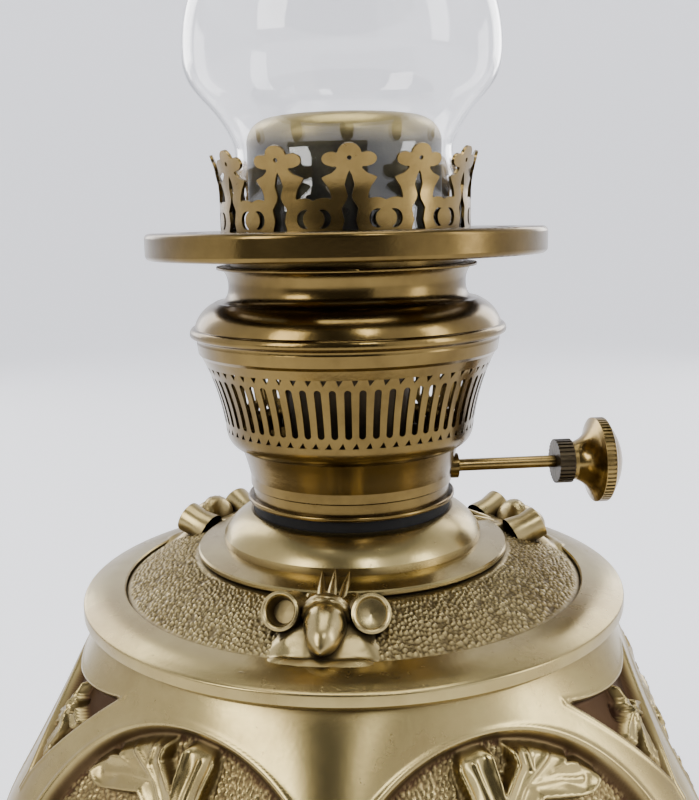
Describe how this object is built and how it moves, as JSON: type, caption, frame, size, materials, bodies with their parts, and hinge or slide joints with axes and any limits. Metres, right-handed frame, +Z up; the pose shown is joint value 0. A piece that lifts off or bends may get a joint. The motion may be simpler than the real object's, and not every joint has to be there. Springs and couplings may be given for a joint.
{
  "type": "oil lamp",
  "caption": "Brass oil lamp: six-sided urn with oak-leaf medallions, drop-in font with acorn collar, round-wick burner, crown gallery and a bulbous clear glass chimney.",
  "frame": {"origin": "centre of the foot's underside, on the lamp's axis", "axes": "+Z up the lamp's axis, +X towards the wick knob, -Y towards the front"},
  "size_m": [0.1992, 0.204, 0.5576],
  "materials": {
    "satin_brass": "satin polished with a dull bloom, brown in its hollows",
    "stippled_brass": "cast relief on a stippled ground, dark patina in its recesses",
    "antique_brass": "dark antique brass, worn bright along the edges",
    "gilt_brass": "warm polished brass with bright edges",
    "dark_brass": "tarnished, blackened by heat",
    "sheet_brass": "plain drawn sheet, unpolished",
    "screw_steel": "plain steel screws",
    "black_gasket": "matt black washer",
    "cotton_wick": "woven cotton tube, charred at the lip",
    "clear_glass": "clear blown glass"
  },
  "bodies": {
    "vase": {"foot_ring": "satin_brass", "base_cover": "sheet_brass", "base_screws": "screw_steel", "vase_body": "satin_brass", "shoulder_ring": "satin_brass", "leaf_medallion_1": "stippled_brass", "leaf_medallion_2": "stippled_brass", "leaf_medallion_3": "stippled_brass", "leaf_medallion_4": "stippled_brass", "leaf_medallion_5": "stippled_brass", "leaf_medallion_6": "stippled_brass", "spandrel_leaf_1": "stippled_brass", "spandrel_leaf_2": "stippled_brass", "spandrel_leaf_3": "stippled_brass"},
    "font": {"oil_font": "sheet_brass", "font_deck": "sheet_brass", "shoulder_dome": "stippled_brass", "collar_plate": "satin_brass", "collar_ogee": "satin_brass", "neck_ring": "sheet_brass", "acorn_cluster_1": "stippled_brass", "acorn_cluster_2": "stippled_brass", "acorn_cluster_3": "stippled_brass"},
    "gasket": {"neck_gasket": "black_gasket"},
    "burner": {"burner_base": "antique_brass", "spindle_gland": "antique_brass", "burner_cup": "antique_brass", "slotted_basket": "antique_brass", "burner_dome": "antique_brass", "burner_rim": "antique_brass", "flame_cap": "dark_brass", "wick_tube": "dark_brass", "draught_tube": "dark_brass", "air_duct": "dark_brass", "spreader_seat": "dark_brass"},
    "knob": {"wick_spindle": "gilt_brass", "wick_pinion": "dark_brass", "knob_boss": "dark_brass", "wick_knob": "gilt_brass"},
    "wick_carrier": {"wick": "cotton_wick", "wick_sleeve": "dark_brass", "wick_rack": "dark_brass"},
    "spreader": {"flame_spreader": "dark_brass"},
    "gallery": {"gallery_ring": "antique_brass", "crown_gallery": "gilt_brass"},
    "chimney": {"glass_chimney": "clear_glass"}
  },
  "joints": [
    {"name": "font_lift", "type": "slide", "parent": "vase", "child": "font", "axis": [0, 0, 1], "range_m": [0, 0.095]},
    {"name": "burner_rise", "type": "slide", "parent": "font", "child": "gasket", "axis": [0, 0, 1], "range_m": [0, 0.0041]},
    {"name": "burner_turn", "type": "hinge", "parent": "gasket", "child": "burner", "pos_m": [0, 0, 0.2094], "axis": [0, 0, 1], "range_deg": [0, 720]},
    {"name": "wick_turn", "type": "hinge", "parent": "burner", "child": "knob", "pos_m": [0.06, 0, 0.216], "axis": [-1, 0, 0], "range_deg": [-171.8, 85.9]},
    {"name": "wick_rise", "type": "slide", "parent": "burner", "child": "wick_carrier", "axis": [0, 0, 1], "range_m": [-0.012, 0.006]},
    {"name": "spreader_lift", "type": "slide", "parent": "burner", "child": "spreader", "axis": [0, 0, 1], "range_m": [0, 0.04]},
    {"name": "gallery_lift", "type": "slide", "parent": "burner", "child": "gallery", "axis": [0, 0, 1], "range_m": [0, 0.045]},
    {"name": "chimney_lift", "type": "slide", "parent": "gallery", "child": "chimney", "axis": [0, 0, 1], "range_m": [0, 0.06]}
  ],
  "couplings": [
    {"joint": "burner_rise", "follows": "burner_turn", "m_per_rad": 0.00031831},
    {"joint": "wick_rise", "follows": "wick_turn", "m_per_rad": 0.004}
  ]
}
